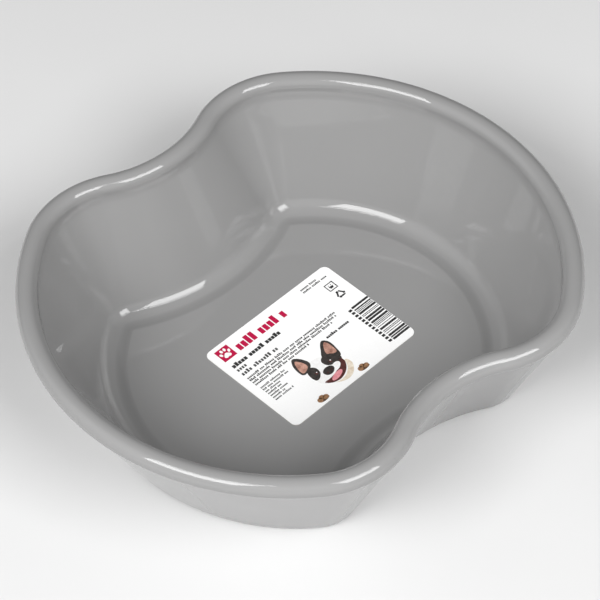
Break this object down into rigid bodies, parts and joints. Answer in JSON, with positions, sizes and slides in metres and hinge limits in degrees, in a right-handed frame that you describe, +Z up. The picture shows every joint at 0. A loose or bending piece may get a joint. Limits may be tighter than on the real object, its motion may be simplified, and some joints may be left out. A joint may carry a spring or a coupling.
{
  "type": "pet bowl",
  "caption": "Gloss plastic pet bowl with a pinched waist, a rounded rim bead and leaning walls, with a paper label inside on its floor.",
  "frame": {"origin": "on the ground, under the middle of the bowl", "axes": "+X along the bowl's long axis, +Y across the pinched waist, +Z up out of the open top"},
  "size_m": [0.2, 0.1738, 0.0516],
  "materials": {
    "bowl_plastic": "smooth gloss moulded plastic, mid grey",
    "label_adhesive": "thin tacky coat",
    "label_paper": null
  },
  "bodies": {
    "root": {"bowl": "bowl_plastic", "label_adhesive": "label_adhesive", "label": "label_paper"}
  },
  "joints": []
}
